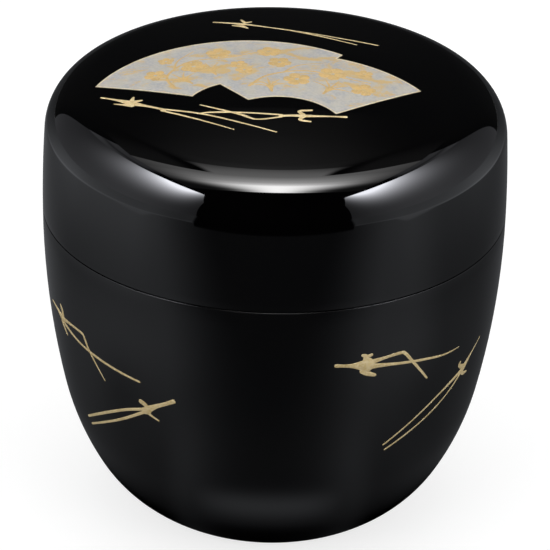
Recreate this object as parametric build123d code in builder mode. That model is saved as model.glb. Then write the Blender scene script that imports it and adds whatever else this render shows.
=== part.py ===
"""Medium lacquer tea caddy: a turned body with an upright lip, and a lid that slips down over the lip.

The caddy stands on the XY plane with its axis on +Z, and is drawn in millimetres. Both outlines are
chains of tangent arcs. They start upright at the parting line, which is the widest level, and run in
towards the axis: the body's down to the foot, the lid's up to the crown.
"""

import os
from math import cos, radians, sin

from build123d import *

# Overall sizes
caddy_diameter = 66.0
body_height = 46.7  # from the ground to the parting line
lid_height = 20.3  # from the parting line to the crown

# Outside of the body, where each angle is the lean from upright at which one arc hands over to the next
body_leans = (0.0, 12.0, 29.0, 66.0)
belly_radius = 41.8
foot_diameter = 33.0
foot_ring_width = 2.2
foot_recess = 0.7
foot_edge_round = 0.35

# Outside of the lid
lid_leans = (0.0, 3.7, 62.0, 82.4, 90.0)
shoulder_radius = 6.6
shoulder_ease_radius = 9.8

# Lip of the body and socket of the lid
lip_height = 9.0
lip_wall = 1.5
lip_edge_round = 0.6
fit_clearance = 0.15  # between the lip and the lid's wall, all round
lip_headroom = 0.8  # above the lip, inside the closed lid
lid_wall = 1.8  # at the lid's rim
parting_edge_round = 0.25
mouth_chamfer = 0.3

# Inside of the body
well_leans = (0.0, 12.0, 29.0, 90.0)
well_belly_radius = 38.0
well_floor_inset = 4.5  # from the foot's edge in to the flat floor of the well
floor_thickness = 3.8  # from the ground to the floor of the well

# Inside of the lid, above its socket
ceiling_leans = (0.0, 62.0, 82.4, 90.0)
ceiling_ease_radius = 8.0
crown_thickness = 2.8

# Sizes that follow
widest_radius = caddy_diameter / 2
foot_radius = foot_diameter / 2
socket_radius = widest_radius - lid_wall
lip_radius = socket_radius - fit_clearance
well_mouth_radius = lip_radius - lip_wall
well_floor_radius = foot_radius - well_floor_inset
socket_depth = lip_height + lip_headroom
lip_top = body_height + lip_height
crown_top = body_height + lid_height


def chain_radii(inward, along, leans, middle_radii):
    """Radii of a chain of tangent arcs that starts upright.

    The chain leans over by the given angles, and covers `inward` towards the axis and `along` it. The
    middle radii are given. The first and the last are the pair that closes the chain.
    """
    spans = list(zip(leans[:-1], leans[1:]))
    inward_share = [cos(radians(a)) - cos(radians(b)) for a, b in spans]
    along_share = [sin(radians(b)) - sin(radians(a)) for a, b in spans]
    inward_left = inward - sum(r * k for r, k in zip(middle_radii, inward_share[1:-1]))
    along_left = along - sum(r * k for r, k in zip(middle_radii, along_share[1:-1]))
    determinant = inward_share[0] * along_share[-1] - inward_share[-1] * along_share[0]
    first = (inward_left * along_share[-1] - along_left * inward_share[-1]) / determinant
    last = (inward_share[0] * along_left - along_share[0] * inward_left) / determinant
    return [first, *middle_radii, last]


def draw_chain(start, upward, radii, leans):
    """Draws a chain of tangent arcs in the current BuildLine, and returns its last point."""
    turn = 1 if upward else -1
    point = start
    for radius, lean, next_lean in zip(radii, leans[:-1], leans[1:]):
        heading = (-sin(radians(lean)), turn * cos(radians(lean)))
        arc = JernArc(start=point, tangent=heading, radius=radius, arc_size=turn * (next_lean - lean))
        point = arc @ 1
    return point


body_radii = chain_radii(widest_radius - foot_radius, body_height, body_leans, [belly_radius])
well_radii = chain_radii(
    well_mouth_radius - well_floor_radius,
    body_height - floor_thickness,
    well_leans,
    [well_belly_radius],
)
lid_radii = chain_radii(
    widest_radius, lid_height, lid_leans, [shoulder_radius, shoulder_ease_radius]
)
ceiling_radii = chain_radii(
    socket_radius,
    lid_height - crown_thickness - socket_depth,
    ceiling_leans,
    [ceiling_ease_radius],
)

# Body: the belly, its foot ring, the well for the tea and the lip that carries the lid
with BuildPart() as body:
    with BuildSketch(Plane.XZ) as body_section:
        with BuildLine():
            draw_chain((widest_radius, body_height), False, body_radii, body_leans)
            Polyline(
                (foot_radius, 0),
                (foot_radius - foot_ring_width, 0),
                (foot_radius - foot_ring_width - foot_recess, foot_recess),
                (0, foot_recess),
                (0, floor_thickness),
                (well_floor_radius, floor_thickness),
            )
            draw_chain((well_mouth_radius, body_height), False, well_radii, well_leans)
            Polyline(
                (well_mouth_radius, body_height),
                (well_mouth_radius, lip_top),
                (lip_radius, lip_top),
                (lip_radius, body_height),
                (widest_radius, body_height),
            )
        make_face()
    revolve(axis=Axis.Z)
    rings = body.edges().filter_by(GeomType.CIRCLE)
    lip_edges = rings.filter_by_position(Axis.Z, lip_top, lip_top)
    foot_edges = rings.filter_by_position(Axis.Z, 0, 0)
    parting_edge = rings.filter_by_position(Axis.Z, body_height, body_height).sort_by(SortBy.RADIUS)[-1]
    fillet(lip_edges, radius=lip_edge_round)
    fillet(foot_edges, radius=foot_edge_round)
    fillet(parting_edge, radius=parting_edge_round)

# Lid: a shallow dome on a rounded shoulder, with a straight socket that slides over the lip
with BuildPart() as lid:
    with BuildSketch(Plane.XZ) as lid_section:
        with BuildLine():
            draw_chain((widest_radius, body_height), True, lid_radii, lid_leans)
            ceiling = draw_chain(
                (socket_radius, body_height + socket_depth), True, ceiling_radii, ceiling_leans
            )
            Line(ceiling, (0, crown_top))
            Polyline(
                (socket_radius, body_height + socket_depth),
                (socket_radius, body_height),
                (widest_radius, body_height),
            )
        make_face()
    revolve(axis=Axis.Z)
    rim_rings = lid.edges().filter_by(GeomType.CIRCLE).group_by(Axis.Z)[0].sort_by(SortBy.RADIUS)
    fillet(rim_rings[-1], radius=parting_edge_round)
    chamfer(rim_rings[0], length=mouth_chamfer)

body.part.label = "body"
lid.part.label = "lid"

os.makedirs("parts", exist_ok=True)
for piece in (body, lid):
    export_step(piece.part, f"parts/{piece.part.label}.step")

print("outside radii of the body", [round(r, 2) for r in body_radii])
print("inside radii of the body", [round(r, 2) for r in well_radii])
print("outside radii of the lid", [round(r, 2) for r in lid_radii])
print("inside radii of the lid", [round(r, 2) for r in ceiling_radii])
print("overall height", round(crown_top, 2), "volume in cm3 of body and lid:")
print(round(body.part.volume / 1000, 2), round(lid.part.volume / 1000, 2))
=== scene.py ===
# %% [markdown]
# # A lacquer tea caddy
#
# The caddy is two turned pieces of wood under gloss black lacquer: a round body and a domed lid that
# slips down over the body's lip. A picture in gold and silver powder lies on the lacquer: two fan
# papers on the lid, and pine needles scattered over the lid and the body.
#
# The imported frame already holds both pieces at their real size, so this lesson is about what a lacquer
# workshop adds: the mirror finish, and the raised powder picture. All lengths are in metres, and `mm`
# turns millimetres into metres.

from math import cos, hypot, pi, radians, sin

import bpy
from mathutils import Matrix, Vector


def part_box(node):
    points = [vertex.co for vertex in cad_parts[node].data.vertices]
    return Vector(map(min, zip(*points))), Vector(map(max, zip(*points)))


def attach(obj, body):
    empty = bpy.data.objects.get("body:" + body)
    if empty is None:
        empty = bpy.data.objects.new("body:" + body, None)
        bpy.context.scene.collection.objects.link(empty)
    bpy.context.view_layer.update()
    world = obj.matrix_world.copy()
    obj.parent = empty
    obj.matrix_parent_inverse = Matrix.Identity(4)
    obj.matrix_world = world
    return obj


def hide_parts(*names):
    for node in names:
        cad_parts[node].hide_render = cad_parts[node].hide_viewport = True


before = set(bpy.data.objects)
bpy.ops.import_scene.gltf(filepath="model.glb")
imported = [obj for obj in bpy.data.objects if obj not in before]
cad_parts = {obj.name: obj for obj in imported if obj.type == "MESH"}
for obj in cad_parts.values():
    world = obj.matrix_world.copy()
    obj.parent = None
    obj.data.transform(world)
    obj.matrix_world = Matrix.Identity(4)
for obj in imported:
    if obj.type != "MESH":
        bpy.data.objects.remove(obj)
bpy.context.view_layer.update()
body_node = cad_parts["body"]
lid_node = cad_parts["lid"]
mm = 0.001
parting_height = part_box("lid")[0].z
crown_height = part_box("lid")[1].z
widest_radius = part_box("body")[1].x

# %% [markdown]
# ## The camera
#
# The photograph was taken from a little above, with a long lens that flattens the ellipses of the lid.
# The camera stands half a metre away, 28 degrees above the table, and is turned by just over a degree,
# because the caddy leans that much in the picture. It is placed first, so that every later look is
# taken from the right place.

# %% Place the camera
photo_elevation = radians(28.044)
photo_roll = radians(1.21)
photo_distance = 500 * mm
photo_lens = 226.6
aim_right = 0.293 * mm
aim_up = 0.812 * mm
aim_height = 34 * mm

across = Vector((1, 0, 0))
upward = Vector((0, sin(photo_elevation), cos(photo_elevation)))
towards_camera = Vector((0, -cos(photo_elevation), sin(photo_elevation)))
aim = Vector((0, 0, aim_height)) + across * aim_right + upward * aim_up
rolled_across = across * cos(photo_roll) + upward * sin(photo_roll)
rolled_upward = upward * cos(photo_roll) - across * sin(photo_roll)
bpy.ops.object.camera_add()
camera = bpy.context.object
camera.name = "photo_camera"
camera.data.lens = photo_lens
camera.data.clip_start = 10 * mm
turn = Matrix((rolled_across, rolled_upward, towards_camera)).transposed().to_4x4()
camera.matrix_world = Matrix.Translation(aim + towards_camera * photo_distance) @ turn
bpy.context.scene.camera = camera
bpy.context.scene.view_settings.view_transform = "Standard"
print("the camera stands at", tuple(round(c, 3) for c in camera.matrix_world.translation))

# %% [markdown]
# ## Small helpers
#
# Blender's operators act on whatever is selected, so each step starts by selecting one object alone.
# A modifier is added with its settings and applied at once, which leaves a plain mesh behind. The
# material helpers add a node, fill in its inputs and link it in one line, so that a material can be
# read from top to bottom.


# %% Selecting, and applying modifiers
def select_only(piece):
    """Makes one object the only selected one, and the active one."""
    bpy.ops.object.select_all(action="DESELECT")
    piece.select_set(True)
    bpy.context.view_layer.objects.active = piece


def apply_modifier(piece, kind, **settings):
    """Adds a modifier with its settings to a piece, and applies it."""
    select_only(piece)
    modifier = piece.modifiers.new(kind.lower(), kind)
    for name, value in settings.items():
        setattr(modifier, name, value)
    bpy.ops.object.modifier_apply(modifier=modifier.name)


# %% Building node trees
bell_base = 2.718


def find_input(node, name):
    """A node's input by its title, or by its number, written as _0, _1 and so on."""
    number = name[1:]
    return node.inputs[int(number) if number.isdigit() else name.replace("_", " ")]


def add_node(tree, kind, settings=None, **inputs):
    """Adds a node. Settings are its properties, and inputs are values or other nodes' outputs."""
    node = tree.nodes.new(kind)
    for name, value in (settings or {}).items():
        setattr(node, name, value)
    for name, value in inputs.items():
        if isinstance(value, bpy.types.NodeSocket):
            tree.links.new(value, find_input(node, name))
        else:
            find_input(node, name).default_value = value
    return node


def maths(tree, operation, first, second=0.0):
    """One Math node, as its output."""
    return add_node(tree, "ShaderNodeMath", {"operation": operation}, _0=first, _1=second).outputs[0]


def times(tree, first, *others):
    """Several values multiplied together."""
    for other in others:
        first = maths(tree, "MULTIPLY", first, other)
    return first


def plus(tree, first, *others):
    """Several values added up."""
    for other in others:
        first = maths(tree, "ADD", first, other)
    return first


def minus(tree, first, second):
    """One value less another."""
    return maths(tree, "SUBTRACT", first, second)


def ramp(tree, value, low, high, start=0.0, end=1.0, smooth=True):
    """Turns a value between low and high into one between start and end."""
    settings = {"interpolation_type": "SMOOTHSTEP" if smooth else "LINEAR"}
    sockets = {"Value": value, "From_Min": low, "From_Max": high, "To_Min": start, "To_Max": end}
    return add_node(tree, "ShaderNodeMapRange", settings, **sockets).outputs[0]


def bell(tree, value, middle, width):
    """A soft peak: 1 where the value is at the middle, falling off over the width."""
    share = maths(tree, "DIVIDE", minus(tree, value, middle), width)
    return maths(tree, "POWER", bell_base, times(tree, share, share, -1.0))


def new_material(name):
    """An empty node material, with its node tree and its output node."""
    material = bpy.data.materials.new(name)
    material.use_nodes = True
    material.node_tree.nodes.clear()
    output = material.node_tree.nodes.new("ShaderNodeOutputMaterial")
    print("material", name)
    return material, material.node_tree, output


def object_place(tree):
    """The point being shaded, in the piece's own coordinates."""
    return add_node(tree, "ShaderNodeTexCoord").outputs["Object"]


# %% [markdown]
# ## The white table
#
# The photograph has a plain white ground. The floor is a large pale sheet that still takes the caddy's
# soft shadow, and its own faint glow, which only the camera and mirror-like surfaces see, lifts the
# open floor to white. The world behind it is white in the same way, and it lights the powders evenly.

# %% Floor and world
floor_size = 12
floor_colour = (0.45, 0.45, 0.45, 1.0)
floor_glow = 0.73
daylight = 0.62
white_backdrop = 1.0


def seen_directly(tree):
    """1 for what the camera, a mirror or a clear glass looks at, and 0 for plain lighting."""
    path = add_node(tree, "ShaderNodeLightPath").outputs
    mirrored = maths(tree, "MAXIMUM", path["Is Glossy Ray"], path["Is Transmission Ray"])
    return maths(tree, "MAXIMUM", path["Is Camera Ray"], mirrored)


bpy.ops.mesh.primitive_plane_add(size=floor_size)
floor = bpy.context.object
floor.name = "floor"
floor_material, tree, output = new_material("pale_table")
matt = add_node(tree, "ShaderNodeBsdfDiffuse", Color=floor_colour)
glow = add_node(tree, "ShaderNodeEmission", Strength=times(tree, seen_directly(tree), floor_glow))
both = add_node(tree, "ShaderNodeAddShader", _0=matt.outputs[0], _1=glow.outputs[0])
tree.links.new(both.outputs[0], output.inputs["Surface"])
floor.data.materials.append(floor_material)

world = bpy.data.worlds.new("daylight")
bpy.context.scene.world = world
world.use_nodes = True
tree = world.node_tree
tree.nodes.clear()
sky = ramp(tree, seen_directly(tree), 0, 1, daylight, white_backdrop)
background = add_node(tree, "ShaderNodeBackground", Strength=sky)
add_node(tree, "ShaderNodeOutputWorld", Surface=background.outputs[0])

# %% [markdown]
# ## Softboxes and black cards
#
# Black lacquer is a mirror: it shows nothing of its own, only the studio around it. Lacquerware is
# photographed between large graded softboxes, with black cards wherever the surface should stay deep.
# So the studio is built as a booth of cards that only reflections see: a graded light overhead, one at
# each side, a table, and black walls between them. Each light is graded across its face, because the
# slope and the edge of a light are what draw the curve of a mirror.


# %% Parts of the studio that only reflections see
def make_card(name, low, high, material):
    """A card between two corners, flat across the axis in which they agree, and seen only in gloss."""
    size = [b - a for a, b in zip(low, high)]
    middle = [(a + b) / 2 for a, b in zip(low, high)]
    bpy.ops.mesh.primitive_cube_add(size=1, location=middle, scale=size)
    card = bpy.context.object
    card.name = name
    bpy.ops.object.transform_apply(location=True, rotation=True, scale=True)
    card.data.materials.append(material)
    card.visible_camera = False
    card.visible_diffuse = False
    card.visible_transmission = False
    card.visible_shadow = False
    print(name, "is a card of", [round(side, 2) for side in size], "m")


def card_light(name, tint):
    """An emission material for a card, with its tree, the parts of its place, and its strength."""
    material, tree, output = new_material(name)
    emission = add_node(tree, "ShaderNodeEmission", Color=(*tint, 1.0))
    tree.links.new(emission.outputs[0], output.inputs["Surface"])
    place = add_node(tree, "ShaderNodeSeparateXYZ", Vector=object_place(tree)).outputs
    return material, tree, place, emission.inputs["Strength"]


def graded(tree, value, stops):
    """Brightness along a line, by listed stops of place and brightness."""
    first, last = stops[0][0], stops[-1][0]
    share = ramp(tree, value, first, last, smooth=False)
    node = add_node(tree, "ShaderNodeValToRGB", Fac=share)
    marks = node.color_ramp.elements
    for _ in stops[2:]:
        marks.new(0.5)  # anywhere between the two ends, until the next loop
    for mark, (place, level) in zip(marks, stops):
        mark.position = (place - first) / (last - first)
        mark.color = (level, level, level, 1)
    return node.outputs[0]


# %% The booth
booth_side = 1.2
booth_front = -1.65
booth_back = 3.2
booth_top = 2.0
booth_wall = 0.05
card_lift = 0.2 * mm
booth_tint = (0.95, 0.98, 1.0)
black_levels = (0.0, 2.4, 0.001, 0.02)


def black_glow(tree, place):
    """The brightness of a black card, which lifts a little towards the back of the booth."""
    return ramp(tree, place["Y"], *black_levels)


booth_black, tree, place, strength = card_light("booth_black", booth_tint)
tree.links.new(black_glow(tree, place), strength)
make_card(
    "black_booth",
    (-booth_side - booth_wall, booth_front, -card_lift),
    (booth_side + booth_wall, booth_back, booth_top + booth_wall),
    booth_black,
)

# %% [markdown]
# ### The side lights
#
# A side light is a tall panel. It is brightest near its top and towards the camera, which gives the lid
# its white tips, and it falls to a faint even grey lower down, which lies on the body as a soft sheen.
# Its top edge slopes down towards the back. Above that edge there is only a dim haze from the light
# overhead.
#
# The gradients of all the cards are named before they are used. A slope is where it begins and ends,
# and the values there where they aren't 0 and 1. A bell is its middle and its width.

# %% Two side lights
side_tint = (0.95, 0.96, 1.03)
side_reach = {"left_light": 1.48, "right_light": 1.36}
side_top = 1.70
side_top_slope = -0.24
side_top_blur = 0.01
brightest = -0.65
rise_power = 3.3
forward_widths = (-1, 1, 0.49, 0.46)
backward_width = 0.73
upper_gain = 9.0
upper_limit = 22.0
sheen_bell = (-0.4, 0.85)
sheen_gain = 0.52
sheen_everywhere = 0.20
haze_levels = (0.0, 0.4, 0.0, 0.42)
strip_bell = (1.70, 0.07)
strip_depth = 0.5
lean_from = 1.25
lean_slope = 0.42
front_blur = 0.02

side_light, tree, place, strength = card_light("side_light", side_tint)
rise = maths(tree, "POWER", maths(tree, "DIVIDE", place["Z"], booth_side), rise_power)
forward_width = ramp(tree, place["X"], *forward_widths, smooth=False)
before = bell(tree, maths(tree, "MINIMUM", place["Y"], brightest), brightest, forward_width)
behind = bell(tree, maths(tree, "MAXIMUM", place["Y"], brightest), brightest, backward_width)
upper = maths(tree, "MINIMUM", times(tree, rise, before, behind, upper_gain), upper_limit)
sheen = times(tree, bell(tree, place["Y"], *sheen_bell), sheen_gain)
panel = plus(tree, upper, sheen, sheen_everywhere)
edge_height = minus(tree, place["Z"], times(tree, place["Y"], side_top_slope))
below_edge = ramp(tree, edge_height, side_top - side_top_blur, side_top + side_top_blur, 1.0, 0.0)
dark_strip = times(tree, bell(tree, place["Z"], *strip_bell), strip_depth)
haze = times(tree, ramp(tree, place["Y"], *haze_levels), minus(tree, 1.0, dark_strip))
level = plus(tree, times(tree, panel, below_edge), times(tree, haze, minus(tree, 1.0, below_edge)))
leaning = times(tree, maths(tree, "MAXIMUM", minus(tree, place["Z"], lean_from), 0.0), lean_slope)
front_edge = ramp(tree, minus(tree, place["Y"], leaning), booth_front, booth_front + front_blur)
tree.links.new(times(tree, level, front_edge), strength)
for side, (name, reach) in zip((-1, 1), side_reach.items()):
    make_card(name, (side * booth_side, booth_front, 0), (side * booth_side, reach, booth_top), side_light)

# %% [markdown]
# ### The overhead light
#
# The overhead light ends in a sharp front edge, which draws the bright line along the front shoulder of
# the lid. It fades towards the back, where only a narrow tail goes on, and that tail is the grey sheen on
# the top of the lid. Its outer corners are cut off, and the dark wedges on the shoulder come from there.

# %% One overhead light
overhead_tint = (1.0, 0.99, 0.99)
overhead_front = -0.7
overhead_back = 3.12
overhead_middle = -0.05
along_overhead = [
    (-0.66, 0.0), (-0.62, 22.0), (-0.08, 22.0), (0.06, 12.5), (0.26, 6.6), (0.46, 4.0),
    (0.65, 2.2), (1.14, 1.35), (1.36, 0.9), (1.42, 0.25), (2.1, 0.13), (2.6, 0.05), (3.1, 0.02),
]
fade_middle = 0.03
fade_width = 0.6
fade_growth = 0.6
fade_least_width = 0.3
corner_start = 0.54
corner_slope = 0.42
corner_blur = 0.03
tail_half_widths = (0.8, 2.6, 0.37, 0.46)
tail_blurs = (1.0, 2.4, 0.08, 0.4)
tail_edge = (-0.5, 0.5, 1.0, 0.0)
tail_core_width = 0.4
tail_dimming = (0.7, 1.6)
spill_edge = (0.44, 0.6)
spill_levels = (0.9, 2.3, 0.08, 0.0)

top_light, tree, place, strength = card_light("overhead_light", overhead_tint)
aside = maths(tree, "ABSOLUTE", minus(tree, place["X"], overhead_middle))
growing = plus(tree, times(tree, place["Y"], fade_growth), fade_width)
fade = bell(tree, place["X"], fade_middle, maths(tree, "MAXIMUM", growing, fade_least_width))
past_corner = minus(tree, place["Y"], plus(tree, times(tree, aside, corner_slope), corner_start))
main_part = ramp(tree, past_corner, 0.0, corner_blur, 1.0, 0.0)
past_tail = minus(tree, aside, ramp(tree, place["Y"], *tail_half_widths))
past_side = maths(tree, "DIVIDE", past_tail, ramp(tree, place["Y"], *tail_blurs))
beside_core = minus(tree, bell(tree, place["X"], overhead_middle, tail_core_width), 1.0)
tail_level = plus(tree, times(tree, beside_core, ramp(tree, place["Y"], *tail_dimming)), 1.0)
tail = times(tree, ramp(tree, past_side, *tail_edge), tail_level)
shape = maths(tree, "MAXIMUM", main_part, tail)
light = times(tree, graded(tree, place["Y"], along_overhead), fade, shape)
spill = times(tree, ramp(tree, aside, *spill_edge), ramp(tree, place["Y"], *spill_levels))
tree.links.new(plus(tree, light, spill, black_glow(tree, place)), strength)
make_card(
    "overhead_light",
    (-booth_side, overhead_front, booth_top),
    (booth_side, overhead_back, booth_top),
    top_light,
)

# %% [markdown]
# ### The table
#
# The lower half of the caddy looks down on the table. It shows dark in front, and darker still close to the
# foot, where the card is painted with the caddy's shadow on the table; it is grey at the sides. The table's
# edge is round and bulges a little towards the front, and past it lies the foot of the side lights. Two
# readings of a place on the table drive the grey: its reach from the
# caddy's axis, and its frontness, which is 1 in front of the caddy, 0 beside it and -1 behind it.

# %% The table as the lacquer sees it
table_tint = (0.94, 0.97, 1.03)
table_radius = 178 * mm
table_edge_blur = 2 * mm
flank_narrowing = (40 * mm, 180 * mm, 0.0, 0.14)
flank_edge = (0.74, 1.06, 1.0, 0.0)
flank_behind = (-0.4, 0.65, 0.25, 1.0)
flank_levels = (22 * mm, 90 * mm, 0.0, 0.32)
side_dip_frontness = (0.38, 0.22)
side_dip_reach = (57 * mm, 15 * mm)
side_dip_depth = -0.4
right_dip_depths = (0.0, 40 * mm, 0.0, -0.5)
right_dip_edge = (0.1, 0.5, 1.0, 0.0)
outer_levels = (100 * mm, 190 * mm, 0.0, 0.3)
outer_weaker_right = (-50 * mm, 50 * mm, 1.0, 0.55)
outer_front_edge = (0.4, 0.75, 1.0, 0.0)
outer_back_edge = (-0.75, -0.2)
lobe_frontness = (0.84, 0.1)
lobe_reach = (44 * mm, 16 * mm)
lobe_gain = 0.11
belly_line_reach = (31.3 * mm, 3.9 * mm)
belly_line_levels = (0.84, 1.01, 0.0, 0.24)
# Close to the foot the table is painted dark, as painted shadow of the caddy on the table.
ground_grey_and_foot_shade = (22 * mm, 34 * mm, 0.0, 0.055)
bulge_start = (0.45, 0.75)
bulge_sizes = (0.80, 0.82, 30 * mm, 12 * mm)
rim_bell = (12 * mm, 14 * mm)
rim_gain = 0.35
far_levels = (0.50, 0.78, 0.62, 0.34)
far_front_edge = (0.80, 0.82, 1.0, 0.0)
far_back_edge = (-0.9, -0.2, 0.1, 1.0)

table_light, tree, place, strength = card_light("table_grey", table_tint)
squares = [times(tree, place[axis], place[axis]) for axis in ("X", "Y")]
reach = maths(tree, "SQRT", plus(tree, *squares))
frontness = maths(tree, "DIVIDE", times(tree, place["Y"], -1.0), reach)

narrowed = plus(tree, frontness, ramp(tree, reach, *flank_narrowing, smooth=False))
side_dip = times(tree, bell(tree, frontness, *side_dip_frontness), bell(tree, reach, *side_dip_reach))
right_dip = times(tree, ramp(tree, place["X"], *right_dip_depths), ramp(tree, frontness, *right_dip_edge))
flank = times(
    tree, ramp(tree, narrowed, *flank_edge), ramp(tree, frontness, *flank_behind),
    plus(tree, times(tree, side_dip, side_dip_depth), 1.0), plus(tree, right_dip, 1.0),
    ramp(tree, reach, *flank_levels),
)
outer = times(
    tree, ramp(tree, place["X"], *outer_weaker_right), ramp(tree, reach, *outer_levels),
    ramp(tree, frontness, *outer_front_edge), ramp(tree, frontness, *outer_back_edge),
)
lobes = times(tree, bell(tree, frontness, *lobe_frontness), bell(tree, reach, *lobe_reach), lobe_gain)
belly_line = times(tree, bell(tree, reach, *belly_line_reach), ramp(tree, frontness, *belly_line_levels))
near = plus(tree, flank, outer, lobes, belly_line, ramp(tree, reach, *ground_grey_and_foot_shade))

bulge = times(tree, ramp(tree, frontness, *bulge_start), ramp(tree, frontness, *bulge_sizes))
past_edge = minus(tree, reach, plus(tree, bulge, table_radius))
far = times(
    tree, plus(tree, times(tree, bell(tree, past_edge, *rim_bell), rim_gain), 1.0),
    ramp(tree, frontness, *far_levels), ramp(tree, frontness, *far_front_edge),
    ramp(tree, frontness, *far_back_edge),
)
beyond = ramp(tree, past_edge, -table_edge_blur, table_edge_blur)
level = plus(tree, times(tree, near, minus(tree, 1.0, beyond)), times(tree, far, beyond))
tree.links.new(level, strength)
make_card(
    "table_card",
    (-booth_side, booth_front, card_lift),
    (booth_side, booth_back, card_lift),
    table_light,
)

# %% [markdown]
# ## Lamps for the powders
#
# Gold and silver powder is matt enough to need real light on it. Soft lamps stand before the lights of
# the booth. Reflections don't show them, since the graded cards already stand for them there.


# %% Soft lamps
def soft_lamp(name, place, watts, size=0.8):
    """A square area lamp that faces the caddy and that no reflection shows."""
    bpy.ops.object.light_add(type="AREA", location=place)
    lamp = bpy.context.object
    lamp.name = name
    lamp.data.size = size
    lamp.data.energy = watts
    lamp.rotation_euler = (Vector(place) - aim).to_track_quat("Z", "Y").to_euler()
    lamp.visible_glossy = False
    print(name, "gives", watts, "W from", place)


soft_lamp("overhead_lamp", place=(0, 0.1, 1.2), watts=2.2)
soft_lamp("left_lamp", place=(-0.9, -0.9, 0.7), watts=4.5)
soft_lamp("right_lamp", place=(0.9, -0.9, 0.7), watts=4.5)

# %% [markdown]
# ## Black lacquer
#
# The lacquer is many thin black coats, ground and polished to a mirror. It is never quite flat: the
# coat keeps a faint slow ripple, and polishing leaves a trace of haze. The shared group `slow_ripple`
# gives both, as a bump height and as a small change of roughness.


# %% Shared groups
def make_group(name, inputs, outputs):
    """A shader node group with named float inputs and float outputs, and its two end nodes."""
    group = bpy.data.node_groups.new(name, "ShaderNodeTree")
    for title, default in inputs.items():
        socket = group.interface.new_socket(title, in_out="INPUT", socket_type="NodeSocketFloat")
        socket.default_value = default
    for title in outputs:
        group.interface.new_socket(title, in_out="OUTPUT", socket_type="NodeSocketFloat")
    start = group.nodes.new("NodeGroupInput")
    end = group.nodes.new("NodeGroupOutput")
    return group, start, end


def blend_colours(tree, share, first, second):
    """A mix of two colours, each given as numbers or as another node's output."""
    ends = [end if isinstance(end, bpy.types.NodeSocket) else (*end, 1.0) for end in (first, second)]
    mix = add_node(tree, "ShaderNodeMix", {"data_type": "RGBA"}, _0=share, _6=ends[0], _7=ends[1])
    return mix.outputs[2]


ripple_group, start, end = make_group("slow_ripple", {"Size": 60.0, "Haze": 0.02}, ["Height", "Roughness"])
place = object_place(ripple_group)
swell = add_node(ripple_group, "ShaderNodeTexNoise", Vector=place, Scale=start.outputs["Size"], Detail=2.0)
haze = add_node(ripple_group, "ShaderNodeTexNoise", Vector=place, Scale=320.0, Detail=3.0)
ripple_group.links.new(swell.outputs[0], end.inputs["Height"])
ripple_group.links.new(times(ripple_group, haze.outputs[0], start.outputs["Haze"]), end.inputs["Roughness"])

# %% The lacquer
deep_black = (0.0003, 0.0003, 0.0005)
soft_black = (0.0008, 0.0007, 0.0008)
tone_range = (0.3, 0.7)
finest_polish = 0.012

black_lacquer, tree, output = new_material("polished_black_lacquer")
ripple = add_node(tree, "ShaderNodeGroup", {"node_tree": ripple_group}, Size=70.0, Haze=0.03).outputs
colour = blend_colours(tree, ramp(tree, ripple["Height"], *tone_range), deep_black, soft_black)
bump = add_node(tree, "ShaderNodeBump", Height=ripple["Height"], Strength=0.15, Distance=0.01 * mm)
skin = add_node(tree, "ShaderNodeBsdfPrincipled", Base_Color=colour, IOR=1.5, Normal=bump.outputs[0])
tree.links.new(plus(tree, ripple["Roughness"], finest_polish), skin.inputs["Roughness"])
tree.links.new(skin.outputs[0], output.inputs["Surface"])

# %% [markdown]
# ## The two turned pieces
#
# The frame's own meshes of the body and the lid are right in shape, but a mirror shows every facet, and
# the edges of the lights wobble on them. So both pieces are turned again, much finer, as on a lathe: half
# a section is drawn with straight runs and arcs, its corners are rounded, and it is spun about the axis.
#
# Both outlines are chains of arcs that meet without a kink. A chain starts upright at the parting line
# and leans in towards the axis. Its middle radii are chosen, and the first and the last follow from where
# the chain has to end.


# %% Radii of a chain of arcs
def chain_radii(inward, along, leans, middle_radii):
    """Radii of tangent arcs that cover a way inward and a way along the axis, leaning by given angles."""
    spans = list(zip(leans[:-1], leans[1:]))
    inward_share = [cos(radians(a)) - cos(radians(b)) for a, b in spans]
    along_share = [sin(radians(b)) - sin(radians(a)) for a, b in spans]
    inward_left = inward - sum(r * k for r, k in zip(middle_radii, inward_share[1:-1]))
    along_left = along - sum(r * k for r, k in zip(middle_radii, along_share[1:-1]))
    determinant = inward_share[0] * along_share[-1] - inward_share[-1] * along_share[0]
    first = (inward_left * along_share[-1] - along_left * inward_share[-1]) / determinant
    last = (inward_share[0] * along_left - along_share[0] * inward_left) / determinant
    return [first, *middle_radii, last]


# %% Drawing half a section
arc_step = 1.5
fewest_steps = 10
same_place = 0.002 * mm
lathe_smoothing = radians(30)


def pen_down(x, y, z):
    """Starts a drawing with a single point, and stays in edit mode."""
    bpy.ops.object.select_all(action="DESELECT")
    bpy.ops.mesh.primitive_plane_add(size=mm)
    bpy.ops.object.mode_set(mode="EDIT")
    bpy.ops.mesh.select_all(action="SELECT")
    bpy.ops.mesh.merge(type="CENTER")
    bpy.ops.transform.translate(value=(x, y, z))


def draw_lines(point, *corners):
    """Draws straight runs in the XZ plane, from the last point through each corner."""
    for corner in corners:
        way = (corner[0] - point[0], 0, corner[1] - point[1])
        bpy.ops.mesh.extrude_region_move(TRANSFORM_OT_translate={"value": way})
        point = corner
    return point


def draw_chain(point, rising, radii, leans):
    """Draws tangent arcs by swinging the last point about the centre of each arc in turn."""
    side = 1 if rising else -1
    for radius, lean, next_lean in zip(radii, leans[:-1], leans[1:]):
        centre = (point[0] - radius * cos(radians(lean)), point[1] - side * radius * sin(radians(lean)))
        steps = max(fewest_steps, round((next_lean - lean) / arc_step))
        turn = side * radians(next_lean - lean)
        bpy.ops.mesh.spin(steps=steps, angle=turn, center=(centre[0], 0, centre[1]), axis=(0, 1, 0))
        reach = radians(next_lean)
        point = (centre[0] + radius * cos(reach), centre[1] + side * radius * sin(reach))
    return point


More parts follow.
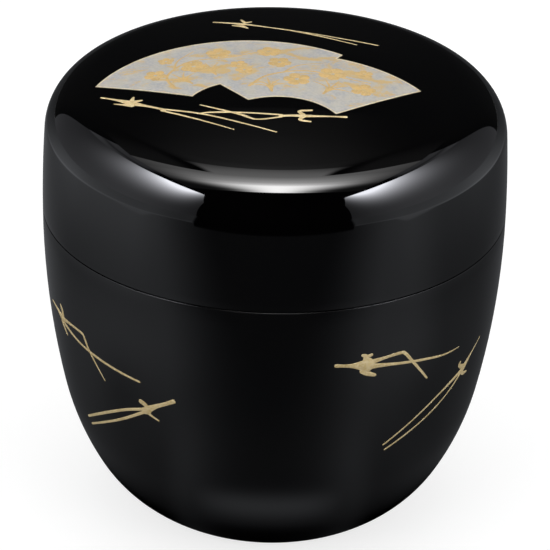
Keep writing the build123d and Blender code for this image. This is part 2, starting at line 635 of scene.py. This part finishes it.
def pick_points(*places):
    """Selects the points of the drawing that lie at the given places in the XZ plane."""
    bpy.ops.mesh.select_mode(type="VERT")
    bpy.ops.mesh.select_all(action="DESELECT")
    bpy.ops.object.mode_set(mode="OBJECT")
    for vertex in bpy.context.object.data.vertices:
        vertex.select = any(hypot(vertex.co.x - x, vertex.co.z - z) < same_place for x, z in places)
    bpy.ops.object.mode_set(mode="EDIT")


def round_corners(radius, *places):
    """Rounds corners of the drawing, as a sanding block would."""
    pick_points(*places)
    bpy.ops.mesh.bevel(offset=radius, segments=5, affect="VERTICES")


def turn_on_the_lathe(name, node, steps=200):
    """Spins the drawing about the axis into a closed smooth solid, which replaces the frame's node."""
    bpy.ops.mesh.select_all(action="SELECT")
    bpy.ops.mesh.spin(steps=steps, angle=2 * pi, center=(0, 0, 0), axis=(0, 0, 1))
    bpy.ops.mesh.select_all(action="SELECT")
    bpy.ops.mesh.remove_doubles(threshold=0.001 * mm)
    bpy.ops.mesh.normals_make_consistent(inside=False)
    bpy.ops.object.mode_set(mode="OBJECT")
    bpy.ops.object.shade_smooth_by_angle(angle=lathe_smoothing)
    piece = bpy.context.object
    piece.name = piece.data.name = name
    piece.data.materials.append(black_lacquer)
    gaps = [(node.closest_point_on_mesh(v.co)[1] - v.co).length for v in piece.data.vertices]
    print(name, len(piece.data.polygons), "faces, at most", round(max(gaps) / mm, 3), "mm from the frame")
    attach(piece, node.name)
    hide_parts(node.name)
    return piece


# %% [markdown]
# ### The body
#
# The body is turned in one with its lip, which stands up inside the lid. Its foot is a low ring round a
# shallow recess, and its well has a round bottom, so that the last of the tea can be scooped out.
#
# Where body and lid meet, the lacquer is cut back a little on both, and the joint shows as a fine dark
# line. The body's share of that line is a shallow step outside the face on which the lid stands.

# %% Turn the body
foot_radius = 16.5 * mm
foot_ring_width = 2.2 * mm
foot_recess = 0.7 * mm
foot_edge_round = 0.35 * mm
belly_radius = 41.8 * mm
lip_radius = 31.05 * mm
lip_top = parting_height + 9 * mm
lip_edge_round = 0.6 * mm
well_mouth_radius = 29.55 * mm
well_belly_radius = 38 * mm
well_floor_radius = 12 * mm
well_floor_height = 3.8 * mm
seam_half_height = 0.1 * mm
seam_depth = 0.5 * mm
seam_edge_round = 0.05 * mm
body_leans = (0, 12, 29, 66)
well_leans = (0, 12, 29, 90)

body_top = parting_height - seam_half_height
body_edge = (widest_radius, body_top)
foot_inside = foot_radius - foot_ring_width
body_radii = chain_radii(widest_radius - foot_radius, body_top, body_leans, [belly_radius])
well_depth = parting_height - well_floor_height
well_radii = chain_radii(well_mouth_radius - well_floor_radius, well_depth, well_leans, [well_belly_radius])

pen_down(widest_radius, 0, body_top)
point = draw_chain(body_edge, False, body_radii, body_leans)
draw_lines(point, (foot_inside, 0), (foot_inside - foot_recess, foot_recess), (0, foot_recess))
pick_points(body_edge)
point = draw_lines(
    body_edge,
    (widest_radius - seam_depth, body_top),
    (widest_radius - seam_depth, parting_height),
    (lip_radius, parting_height),
    (lip_radius, lip_top),
    (well_mouth_radius, lip_top),
    (well_mouth_radius, parting_height),
)
point = draw_chain(point, False, well_radii, well_leans)
draw_lines(point, (0, well_floor_height))
round_corners(seam_edge_round, body_edge)
round_corners(lip_edge_round, (lip_radius, lip_top), (well_mouth_radius, lip_top))
round_corners(foot_edge_round, (foot_radius, 0), (foot_inside, 0))
turned_body = turn_on_the_lathe("turned_body", body_node)

# %% [markdown]
# ### The lid
#
# The lid's crown is a very flat dome. Its shoulder is a tight arc that eases into the dome through a
# slightly wider one, and this is where the overhead light shows as a bright line.

# %% Turn the lid
shoulder_radius = 6.6 * mm
shoulder_ease_radius = 9.8 * mm
socket_radius = 31.2 * mm
socket_top = parting_height + 9.8 * mm
socket_edge_round = 0.3 * mm
ceiling_height = crown_height - 2.8 * mm
ceiling_ease_radius = 8 * mm
lid_leans = (0, 3.7, 62, 82.4, 90)
ceiling_leans = (0, 62, 82.4, 90)

lid_bottom = parting_height + seam_half_height
lid_edge = (widest_radius, lid_bottom)
shoulder_radii = [shoulder_radius, shoulder_ease_radius]
lid_radii = chain_radii(widest_radius, crown_height - lid_bottom, lid_leans, shoulder_radii)
ceiling_radii = chain_radii(socket_radius, ceiling_height - socket_top, ceiling_leans, [ceiling_ease_radius])

pen_down(widest_radius, 0, lid_bottom)
draw_chain(lid_edge, True, lid_radii, lid_leans)
pick_points(lid_edge)
point = draw_lines(
    lid_edge,
    (widest_radius - seam_depth, lid_bottom),
    (widest_radius - seam_depth, parting_height),
    (socket_radius, parting_height),
    (socket_radius, socket_top),
)
draw_chain(point, True, ceiling_radii, ceiling_leans)
round_corners(seam_edge_round, lid_edge)
round_corners(socket_edge_round, (socket_radius, parting_height))
turned_lid = turn_on_the_lathe("turned_lid", lid_node)

# %% [markdown]
# ## Gold and silver powder
#
# The picture is drawn in wet lacquer, and metal powder is sprinkled into it while it is tacky. What stays
# is a slightly raised, satin layer of fine grains, uneven in colour, because the powder lies thicker in
# some places than in others. Both metals share one group, `sprinkled_powder`: broad patches, single
# grains, and a height for the bump.

# %% A shared group: sprinkled powder
noise_range = (0.35, 0.65)
grain_height = 0.6
grain_share = 0.6
roughness_spread = 0.06

powder_group, start, end = make_group(
    "sprinkled_powder", {"Patch": 400.0, "Grain": 4500.0}, ["Patches", "Grains", "Height"]
)
place = object_place(powder_group)
noises = []
for scale, detail in ((start.outputs["Patch"], 3.0), (start.outputs["Grain"], 2.0)):
    noise = add_node(powder_group, "ShaderNodeTexNoise", Vector=place, Scale=scale, Detail=detail)
    noises.append(ramp(powder_group, noise.outputs[0], *noise_range))
patches, grains = noises
powder_group.links.new(patches, end.inputs["Patches"])
powder_group.links.new(grains, end.inputs["Grains"])
powder_group.links.new(times(powder_group, grains, grain_height), end.inputs["Height"])


def powder_material(name, colours, patch, grain, roughness, metallic):
    """A powdered metal in three colours: thin powder, thick powder and bright single grains."""
    thin, thick, bright = colours
    material, tree, output = new_material(name)
    powder = add_node(tree, "ShaderNodeGroup", {"node_tree": powder_group}, Patch=patch, Grain=grain).outputs
    layer = blend_colours(tree, powder["Patches"], thin, thick)
    colour = blend_colours(tree, times(tree, powder["Grains"], grain_share), layer, bright)
    bump = add_node(tree, "ShaderNodeBump", Height=powder["Height"], Strength=0.3, Distance=0.02 * mm)
    smoothest, roughest = roughness - roughness_spread, roughness + roughness_spread
    rough = ramp(tree, powder["Grains"], 0, 1, smoothest, roughest, smooth=False)
    sockets = {"Base_Color": colour, "Metallic": metallic, "Roughness": rough, "Normal": bump.outputs[0]}
    metal = add_node(tree, "ShaderNodeBsdfPrincipled", **sockets)
    tree.links.new(metal.outputs[0], output.inputs["Surface"])
    return material, metal


# %% Gold for the needles and the painting
needle_gold, _ = powder_material(
    "needle_gold_powder", [(0.58, 0.42, 0.16), (0.78, 0.60, 0.28), (0.86, 0.74, 0.49)],
    patch=500.0, grain=5000.0, roughness=0.45, metallic=0.2,
)
paper_gold, _ = powder_material(
    "paper_gold_powder", [(0.54, 0.36, 0.12), (0.66, 0.42, 0.12), (0.66, 0.49, 0.25)],
    patch=900.0, grain=4000.0, roughness=0.5, metallic=0.12,
)
edge_gold, _ = powder_material(
    "edge_gold_powder", [(0.58, 0.47, 0.27), (0.68, 0.58, 0.38), (0.72, 0.66, 0.50)],
    patch=900.0, grain=4000.0, roughness=0.5, metallic=0.12,
)

# %% [markdown]
# The silver of the fan papers carries a drifting mist of gold dust. The mist is broad bands of noise,
# drawn out sideways, and inside a band the dust is denser or thinner grain by grain. It gathers along
# the middle of the papers, in a ring about a point in front of them, and thins out at the left.

# %% Silver with a mist of gold dust
mist_colour = (0.62, 0.41, 0.12)
mist_range = (0.71, 0.89)
mist_share = 0.8
dust_share = 0.25
ring_share = 0.14
ring_middle = -14 * mm
ring_bell = (18.5 * mm, 6.5 * mm)
thinner_left = (-24 * mm, -10 * mm, 0.5, 1.0)

silver, metal = powder_material(
    "silver_powder_with_gold_mist", [(0.38, 0.385, 0.40), (0.48, 0.455, 0.39), (0.56, 0.53, 0.48)],
    patch=450.0, grain=2600.0, roughness=0.5, metallic=0.15,
)
tree = silver.node_tree
plain_silver = metal.inputs["Base Color"].links[0].from_socket
drawn_out = add_node(tree, "ShaderNodeMapping", Vector=object_place(tree), Scale=(0.6, 1.1, 1.0)).outputs[0]
bands = add_node(tree, "ShaderNodeTexNoise", Vector=drawn_out, Scale=330.0, Detail=3.0, Distortion=1.2)
dust = add_node(tree, "ShaderNodeTexNoise", Vector=object_place(tree), Scale=2600.0, Detail=2.0)
place = add_node(tree, "ShaderNodeSeparateXYZ", Vector=object_place(tree)).outputs
ahead = minus(tree, place["Y"], ring_middle)
squares = [times(tree, way, way) for way in (place["X"], ahead)]
from_middle = maths(tree, "SQRT", plus(tree, *squares))
ring = times(tree, bell(tree, from_middle, *ring_bell), ramp(tree, place["X"], *thinner_left))
dusting = [times(tree, dust.outputs[0], dust_share), times(tree, ring, ring_share)]
thickness = plus(tree, bands.outputs[0], *dusting)
mist = times(tree, ramp(tree, thickness, *mist_range), mist_share)
tree.links.new(blend_colours(tree, mist, plain_silver, mist_colour), metal.inputs["Base Color"])

# %% [markdown]
# ## The fan papers
#
# Two open fan papers overlap on the lid, and their outline is drawn as one: the outer arc of the left
# paper, a small step to the outer arc of the right one, and back along the two inner arcs. The arcs are
# drawn as with a compass, by swinging a point about each fan's centre. The sheet is then cut into small
# cells, so that it can follow the dome of the lid, laid down on it, and given its thickness.

# %% Draw the outline
above_lid = crown_height + mm
left_centre = (-4.2 * mm, -11.5 * mm)
right_centre = (1.0 * mm, -16.5 * mm)
right_inner_centre = (0.4 * mm, -16.6 * mm)
# Each arc's centre and radius, its first and last angle in degrees from +X, and its steps
fan_arcs = [
    (left_centre, 22.85 * mm, 156.7, 54.4, 60),
    (right_centre, 23.3 * mm, 71.8, 35.5, 36),
    (right_inner_centre, 9.1 * mm, 31, 118, 36),
    (left_centre, 8.6 * mm, 115.3, 150.4, 16),
]


def on_circle(centre, radius, angle):
    """A point at an angle in degrees, counted from +X, on a circle in the plane of the lid."""
    return centre[0] + radius * cos(radians(angle)), centre[1] + radius * sin(radians(angle))


def rule_to(point, corner):
    """Draws a straight edge in the plane of the lid."""
    way = (corner[0] - point[0], corner[1] - point[1], 0)
    bpy.ops.mesh.extrude_region_move(TRANSFORM_OT_translate={"value": way})


pen = None
for centre, radius, first, last, steps in fan_arcs:
    if pen:
        rule_to(pen, on_circle(centre, radius, first))
    else:
        pen_down(*on_circle(centre, radius, first), above_lid)
    bpy.ops.mesh.spin(steps=steps, angle=radians(first - last), center=(*centre, 0), axis=(0, 0, 1))
    pen = on_circle(centre, radius, last)
bpy.ops.mesh.select_all(action="SELECT")
bpy.ops.mesh.edge_face_add()

# %% Cut it into cells and lay it on the lid
cell = 0.9 * mm
half_the_cuts = 27
sheet_lift = 0.05 * mm
for axis in ((1, 0, 0), (0, 1, 0)):
    for k in range(-half_the_cuts, half_the_cuts):
        bpy.ops.mesh.select_all(action="SELECT")
        bpy.ops.mesh.bisect(plane_co=[k * cell * part for part in axis], plane_no=axis)
bpy.ops.object.mode_set(mode="OBJECT")
fan_papers = bpy.context.object
fan_papers.name = fan_papers.data.name = "fan_papers"
bpy.ops.object.transform_apply(location=True, rotation=True, scale=True)
if fan_papers.data.polygons[0].normal.z < 0:
    fan_papers.data.flip_normals()
downwards = {"wrap_method": "PROJECT", "use_project_z": True, "use_negative_direction": True}
apply_modifier(fan_papers, "SHRINKWRAP", target=turned_lid, offset=sheet_lift, **downwards)
select_only(fan_papers)
bpy.ops.object.duplicate()
fan_edge = bpy.context.object
apply_modifier(fan_papers, "SOLIDIFY", thickness=2 * sheet_lift, offset=-1)
fan_papers.data.materials.append(silver)
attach(fan_papers, "lid")
print("fan papers", len(fan_papers.data.polygons), "faces")

# %% [markdown]
# ## The strokes of the brush
#
# Everything else in the picture is drawn line by line. A line is given by a few marks, each a place and a
# width in millimetres. On the lid a place is read in plan. On the body it is the way round the widest
# circle, counted from the front, and the height.
#
# A smooth run is filled in between the marks, and every point of it is put on the lacquer. A round tube
# is drawn through the points, as thick as the line is wide, and then pressed almost flat. That leaves a
# low, rounded ridge, as a line of powder has.

# %% Drawing a line and pressing it flat
runs_per_span = 5
thinnest = 0.1
end_length = 0.3
end_width = 0.55
stroke_smoothing = radians(40)


def on_the_lid(x, y):
    """The point of the lid's surface at a place in plan."""
    return turned_lid.ray_cast((x * mm, y * mm, 1), (0, 0, -1))[1]


def on_the_body(along, height):
    """The point of the body's surface at a way round from the front, and at a height."""
    azimuth = along * mm / widest_radius
    outward = Vector((sin(azimuth), -cos(azimuth), 0))
    return turned_body.ray_cast(outward + Vector((0, 0, height * mm)), -outward)[1]


def smooth_run(marks):
    """Fills in marks along a smooth line, a cubic that passes through the given ones."""
    padded = [marks[0], *marks, marks[-1]]
    run = []
    for a, b, c, d in zip(padded, padded[1:], padded[2:], padded[3:]):
        for k in range(runs_per_span):
            t = k / runs_per_span
            run.append([
                q + t * ((r - p) + t * ((2 * p - 5 * q + 4 * r - s) + t * (3 * q - p - 3 * r + s))) / 2
                for p, q, r, s in zip(a, b, c, d)
            ])
    return [*run, list(marks[-1])]


def past_end(end, before):
    """A narrower mark just past the end of a run, which rounds the line off."""
    way = (end[0] - before[0], end[1] - before[1])
    step = end_length * end[2] / hypot(*way)
    return [end[0] + way[0] * step, end[1] + way[1] * step, end_width * end[2]]


def brush_line(marks, put_on):
    """Draws a round tube through marks of place and width, along the surface they are put on."""
    bpy.ops.object.select_all(action="DESELECT")
    bpy.ops.curve.primitive_bezier_curve_add()
    curve = bpy.context.object.data
    curve.bevel_depth = 1.0
    curve.bevel_resolution = 2
    curve.resolution_u = 2
    curve.use_fill_caps = True
    run = smooth_run(marks)
    run = [past_end(run[0], run[1]), *run, past_end(run[-1], run[-2])]
    points = curve.splines[0].bezier_points
    points.add(len(run) - len(points))
    for point, (first, second, width) in zip(points, run):
        point.co = put_on(first, second)
        point.handle_left_type = point.handle_right_type = "AUTO"
        point.radius = max(width, thinnest) * mm / 2
    bpy.ops.object.convert(target="MESH")
    return bpy.context.object


def press_flat(piece, surface, keep, lift):
    """Presses a piece down on a surface until only a share of its height is left."""
    group = piece.vertex_groups.new(name="pressed")
    group.add(range(len(piece.data.vertices)), 1 - keep, "REPLACE")
    settings = {"target": surface, "offset": lift, "wrap_mode": "ABOVE_SURFACE"}
    apply_modifier(piece, "SHRINKWRAP", vertex_group="pressed", **settings)


def join_lines(lines, name, surface, material, keep=0.15, lift=0.0):
    """Joins lines into one piece, presses it on its surface and gives it its powder."""
    bpy.ops.object.select_all(action="DESELECT")
    for line in lines:
        line.select_set(True)
    bpy.context.view_layer.objects.active = lines[0]
    bpy.ops.object.join()
    piece = bpy.context.object
    piece.name = piece.data.name = name
    press_flat(piece, surface, keep, lift)
    bpy.ops.object.shade_smooth_by_angle(angle=stroke_smoothing)
    piece.data.materials.append(material)
    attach(piece, "lid" if surface == turned_lid else "body")
    print(name, len(piece.data.polygons), "faces")


# %% [markdown]
# ### The edge of the fans
#
# A fine gold line runs round the papers. It is the outline of the laid sheet, turned into a curve and
# given a thickness.

# %% A gold line round the papers
edge_half_width = 0.13 * mm
select_only(fan_edge)
bpy.ops.object.convert(target="CURVE")
fan_edge = bpy.context.object
fan_edge.data.bevel_depth = edge_half_width
fan_edge.data.bevel_resolution = 2
bpy.ops.object.convert(target="MESH")
join_lines([bpy.context.object], "fan_edge", turned_lid, edge_gold, keep=0.3, lift=sheet_lift)

# %% [markdown]
# ### The painting on the fans
#
# The papers are painted with plum blossom on bent twigs and tufts of young grass, which are common
# motifs of powder painting. A blossom is five short fat strokes round a middle, a tuft is a spray of
# thin blades, and a twig is one long line. They are placed by an angle and a radius about the middle of
# their fan, so that the painting follows the paper's curve.

# %% Blossom, grass and twigs
petals = 5
petal_marks = ((0.34, 0.6), (0.76, 0.95))  # way out and width, as shares of the blossom's radius
blades = range(-2, 3)
root_spread = 8
tip_spread = 24
outer_blade_loss = 0.09
blade_bend = 0.55
blade_widths = (0.25, 0.32, 0.1)


def blossom(x, y, size, turn):
    """A five-petal blossom of a given radius, seen from above, with an open middle."""
    lines = []
    for k in range(petals):
        angle = radians(turn + 360 * k / petals)
        marks = [
            [x + out * size * cos(angle), y + out * size * sin(angle), width * size]
            for out, width in petal_marks
        ]
        lines.append(brush_line(marks, on_the_lid))
    return lines


def grass_tuft(x, y, length, turn):
    """Five blades that spring from one root and bend over."""
    root_width, middle_width, tip_width = blade_widths
    lines = []
    for k in blades:
        start, end = radians(turn + root_spread * k), radians(turn + tip_spread * k)
        blade = length * (1 - outer_blade_loss * abs(k))
        bend = blade_bend * blade
        middle = [x + bend * cos(start), y + bend * sin(start), middle_width]
        tip = [x + blade * cos(end), y + blade * sin(end), tip_width]
        lines.append(brush_line([[x, y, root_width], middle, tip], on_the_lid))
    return lines


def on_fan(centre, angle, radius):
    """A place on a fan, in millimetres, from an angle and a radius about the fan's centre."""
    return [c / mm for c in on_circle(centre, radius * mm, angle)]


def twig(centre, *marks):
    """A bent twig through marks of angle, radius and width about the fan's centre."""
    places = [[*on_fan(centre, angle, radius), width] for angle, radius, width in marks]
    return brush_line(places, on_the_lid)


# %% Paint both fans
paint_keep = 0.12
paint_lift = 1.2 * sheet_lift
blossom_turn = 3  # degrees of a blossom's own turn for each degree round the fan
left_blossoms = [
    (139, 17, 1.5), (126, 19.6, 1.1), (119, 15.6, 1.8), (103, 18.6, 1.7), (95, 14.2, 1.2), (81, 19, 1.6),
]
right_blossoms = [
    (108, 18.2, 1.2), (92, 20, 1.6), (83, 14.6, 1.8), (68, 18, 1.9), (57, 20.6, 1.2), (48, 16.4, 1.7),
]
left_twigs = [
    [(146, 12, 0.5), (136, 15.5, 0.4), (118, 17.4, 0.35), (100, 16.8, 0.3), (86, 18.6, 0.2)],
    [(128, 16.6, 0.35), (122, 18.6, 0.25), (112, 20.6, 0.15)],
]
right_twigs = [
    [(112, 13, 0.5), (98, 15.8, 0.4), (80, 17.6, 0.35), (62, 17.6, 0.3), (50, 18.8, 0.2)],
    [(90, 16.8, 0.35), (84, 19.2, 0.25), (74, 21.2, 0.15)],
]
tufts = [
    (left_centre, 133, 11, 4.5), (left_centre, 112, 11.5, 4.5),
    (right_centre, 99, 10.5, 4.5), (right_centre, 62, 11.5, 5),
]

painting = []
for centre, blossoms, twigs in (
    (left_centre, left_blossoms, left_twigs), (right_centre, right_blossoms, right_twigs)
):
    for angle, radius, size in blossoms:
        painting += blossom(*on_fan(centre, angle, radius), size, turn=blossom_turn * angle)
    painting += [twig(centre, *marks) for marks in twigs]
for centre, angle, radius, length in tufts:
    painting += grass_tuft(*on_fan(centre, angle, radius), length, turn=angle)
join_lines(painting, "fan_painting", turned_lid, paper_gold, paint_keep, paint_lift)

# %% [markdown]
# ### Pine needles
#
# Fallen pine needles, always two and two from one short sheath, lie scattered over the lacquer. Each pair
# is a tail, a sheath that swells into a knot with a spur on either side, and the two needles, which cross
# each other or run side by side. The lid has three pairs.

# %% Needles on the lid
lid_needles = {
    "needles_lid_rear": [
        [(-9.4, 19.7, 0.4), (-7.2, 19.2, 0.45), (-5.0, 18.5, 1.0)],
        [(-5.4, 20.6, 0.3), (-4.8, 19.4, 0.6), (-3.9, 19.7, 0.3)],
        [(-6.6, 18.0, 0.3), (-5.2, 17.6, 0.7), (-4.4, 16.8, 0.3)],
        [(-4.9, 18.6, 0.6), (-0.9, 17.1, 0.3), (2.8, 15.7, 0.45), (11.3, 11.5, 0.2)],
        [(2.8, 15.9, 0.25), (9.0, 13.7, 0.3), (14.3, 12.0, 0.35)],
    ],
    "needles_lid_left": [
        [(-24.3, -6.0, 0.35), (-22.2, -7.1, 0.45), (-20.2, -8.3, 1.3)],
        [(-19.8, -6.7, 0.3), (-19.9, -8.0, 0.8), (-18.6, -7.8, 0.4)],
        [(-22.4, -8.3, 0.25), (-21.2, -8.7, 0.45), (-19.8, -9.2, 0.8)],
        [(-20.2, -8.4, 1.2), (-17.6, -9.7, 0.5), (-15.2, -11.0, 0.5)],
        [(-15.8, -11.1, 0.4), (-10.3, -14.2, 0.3), (-5.7, -16.9, 0.2)],
        [(-15.8, -10.7, 0.4), (-10.4, -12.4, 0.35), (-5.1, -14.9, 0.3), (0.1, -17.5, 0.25)],
    ],
    "needles_lid_right": [
        [(9.6, -12.6, 0.55), (7.4, -12.7, 0.35), (4.0, -12.9, 0.7)],
        [(4.9, -11.2, 0.4), (3.2, -11.6, 0.5), (3.7, -12.6, 0.7)],
        [(4.7, -14.4, 0.4), (3.3, -14.0, 0.5), (3.7, -13.1, 0.7)],
        [(4.0, -12.9, 0.8), (2.2, -12.9, 0.55), (0.5, -13.1, 0.5)],
        [(0.8, -12.8, 0.4), (-4.2, -12.3, 0.35), (-8.6, -12.1, 0.4), (-10.8, -12.4, 0.25)],
        [(0.8, -13.3, 0.35), (-2.6, -14.1, 0.35), (-4.9, -12.8, 0.45), (-10.5, -9.9, 0.2)],
    ],
}
for name, strokes in lid_needles.items():
    join_lines([brush_line(marks, on_the_lid) for marks in strokes], name, turned_lid, needle_gold)

# %% [markdown]
# Four pairs lie on the body where the picture shows it: two on the left and two on the right. The picture
# goes on round the back in the same manner, with the same pairs at other heights, and two of them are
# drawn the other way round.

# %% Needles on the body
body_needles = {
    "far_left": [
        [(-42.5, 35.0, 0.35), (-40.0, 35.0, 0.55), (-37.4, 34.4, 1.4)],
        [(-38.1, 36.5, 0.4), (-37.5, 35.9, 0.7), (-37.4, 34.6, 1.0)],
        [(-38.0, 34.0, 0.8), (-37.3, 33.2, 0.6), (-36.4, 32.4, 0.35)],
        [
            (-37.3, 34.6, 0.7), (-34.5, 35.0, 0.45), (-31.7, 35.1, 0.45), (-31.0, 34.8, 0.5),
            (-30.0, 33.1, 0.45), (-26.8, 29.3, 0.2),
        ],
        [(-37.0, 34.0, 0.6), (-32.3, 33.1, 0.4), (-27.6, 32.6, 0.45), (-19.7, 31.9, 0.35)],
    ],
    "near_left": [
        [(-14.1, 30.4, 0.7), (-15.6, 29.5, 0.6), (-17.2, 28.6, 0.7), (-18.7, 27.6, 1.2)],
        [(-18.8, 27.8, 0.9), (-19.1, 28.3, 0.8), (-19.9, 28.6, 0.8)],
        [(-18.7, 27.0, 0.6), (-18.2, 26.7, 0.4), (-16.9, 26.2, 0.3)],
        [(-18.6, 27.4, 1.3), (-19.5, 27.1, 1.1)],
        [(-19.4, 27.4, 0.5), (-22.9, 26.0, 0.45), (-27.1, 23.8, 0.45), (-33.9, 19.9, 0.4)],
        [(-19.4, 26.9, 0.5), (-25.1, 23.3, 0.4), (-33.2, 18.9, 0.35)],
    ],
    "near_right": [
        [(9.0, 37.9, 0.6), (10.2, 37.7, 0.5), (11.7, 37.5, 0.85), (13.9, 37.2, 2.4)],
        [(13.5, 37.9, 1.2), (13.3, 38.7, 0.8), (12.8, 39.0, 0.4)],
        [(13.3, 38.5, 0.7), (14.3, 38.8, 0.45)],
        [(12.9, 36.5, 0.9), (13.7, 35.9, 0.8), (15.0, 35.3, 0.5)],
        [
            (13.6, 37.5, 1.0), (16.3, 37.8, 0.5), (18.8, 37.9, 0.5), (19.7, 37.6, 0.5),
            (21.1, 35.9, 0.45), (24.4, 31.9, 0.3),
        ],
        [(13.6, 37.0, 1.0), (17.2, 36.5, 0.5), (23.3, 35.4, 0.4), (27.5, 34.6, 0.3), (31.0, 34.4, 0.15)],
    ],
    "far_right": [
        [(37.8, 32.9, 0.2), (35.2, 31.3, 0.45), (33.3, 29.8, 1.2)],
        [(32.2, 31.4, 0.3), (32.0, 30.8, 0.6), (33.2, 30.1, 0.9)],
        [(34.7, 28.6, 0.4), (33.6, 28.8, 0.65), (33.0, 29.5, 0.8)],
        [(33.0, 29.7, 0.7), (27.1, 27.5, 0.35), (17.9, 22.5, 0.3)],
        [(33.0, 29.4, 0.5), (30.2, 27.2, 0.3), (25.8, 24.8, 0.3), (18.3, 21.5, 0.3)],
    ],
}
# The pair that is repeated, the way it is moved round and up, and -1 where it is drawn the other way round
back_needles = {
    "back_1": ("near_left", 36.0, 7.0, -1),
    "back_2": ("near_right", 65.0, -8.0, 1),
    "back_3": ("far_left", 83.0, 1.0, -1),
    "back_4": ("far_right", -95.0, -3.0, 1),
}
for name, (model, way, rise_by, side) in back_needles.items():
    body_needles[name] = [
        [(way + side * along, height + rise_by, width) for along, height, width in marks]
        for marks in body_needles[model]
    ]
for name, strokes in body_needles.items():
    lines = [brush_line(marks, on_the_body) for marks in strokes]
    join_lines(lines, "needles_body_" + name, turned_body, needle_gold)
